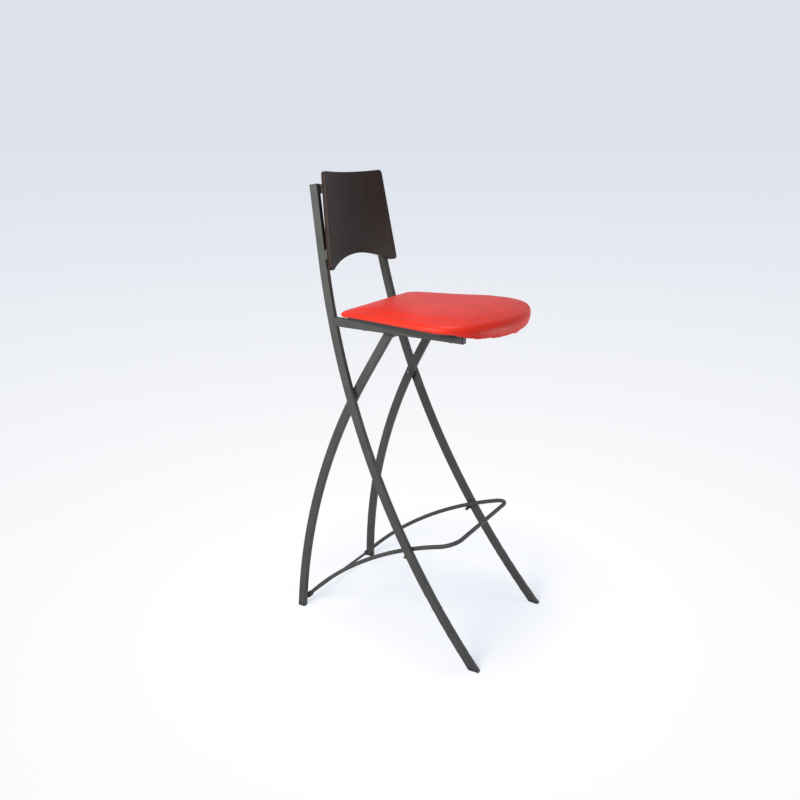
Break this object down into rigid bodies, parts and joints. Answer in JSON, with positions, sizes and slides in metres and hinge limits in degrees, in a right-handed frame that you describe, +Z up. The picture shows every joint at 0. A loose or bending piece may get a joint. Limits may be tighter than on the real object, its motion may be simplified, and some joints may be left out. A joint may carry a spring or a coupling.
{
  "type": "folding bar stool",
  "caption": "Folding bar stool with crossed curved legs, a round-fronted padded seat, a curved wooden backrest and a looped rod footrest.",
  "frame": {"origin": "on the floor, at the middle of the bounding box", "axes": "+Z up; the front of the seat faces -Y; X runs across the stool and X = 0 is its mirror plane"},
  "size_m": [0.374, 0.5272, 1.0798],
  "materials": {
    "frame_tube": "dark grey textured epoxy",
    "black_plastic": "satin",
    "red_leatherette": "semi-gloss leatherette",
    "stained_wood": "dark stained, satin lacquer",
    "plywood": "raw",
    "zinc": "zinc plated",
    "dark_screws": "blackened"
  },
  "bodies": {
    "frame": {"upright_left": "frame_tube", "upright_right": "frame_tube", "upright_caps": "black_plastic", "front_glides": "black_plastic", "back_rail_upper": "frame_tube", "back_rail_lower": "frame_tube", "back_panel": "stained_wood", "back_screws": "dark_screws", "seat_knuckles": "frame_tube", "leg_studs": "frame_tube", "leg_spacers": "black_plastic", "leg_cap_nuts": "zinc", "footrest_pins": "frame_tube"},
    "rear_frame": {"rear_leg_left": "frame_tube", "rear_leg_right": "frame_tube", "rear_leg_tops": "black_plastic", "rear_glides": "black_plastic", "top_cross_tube": "frame_tube", "lower_cross_rod": "frame_tube"},
    "seat": {"seat_rail_left": "frame_tube", "seat_rail_right": "frame_tube", "seat_rail_caps": "black_plastic", "seat_hinge_pins": "frame_tube", "seat_cross_tube": "frame_tube", "seat_board": "plywood", "seat_pad": "red_leatherette", "seat_screws": "zinc", "seat_saddles": "black_plastic"},
    "footrest": {"footrest_rod": "frame_tube", "footrest_eyes": "frame_tube"}
  },
  "joints": [
    {"name": "rear_leg_fold", "type": "hinge", "parent": "frame", "child": "rear_frame", "pos_m": [0, 0.10025, 0.583], "axis": [-1, 0, 0], "range_deg": [0, 35]},
    {"name": "seat_fold", "type": "hinge", "parent": "frame", "child": "seat", "pos_m": [0, 0.12955, 0.7568], "axis": [-1, 0, 0], "range_deg": [0, 66.5]},
    {"name": "footrest_fold", "type": "hinge", "parent": "rear_frame", "child": "footrest", "pos_m": [0, 0.24785, 0.0205], "axis": [-1, 0, 0], "range_deg": [0, 30.8]}
  ],
  "couplings": [
    {"joint": "seat_fold", "follows": "rear_leg_fold", "ratio": 1.9},
    {"joint": "footrest_fold", "follows": "rear_leg_fold", "ratio": 0.88}
  ]
}
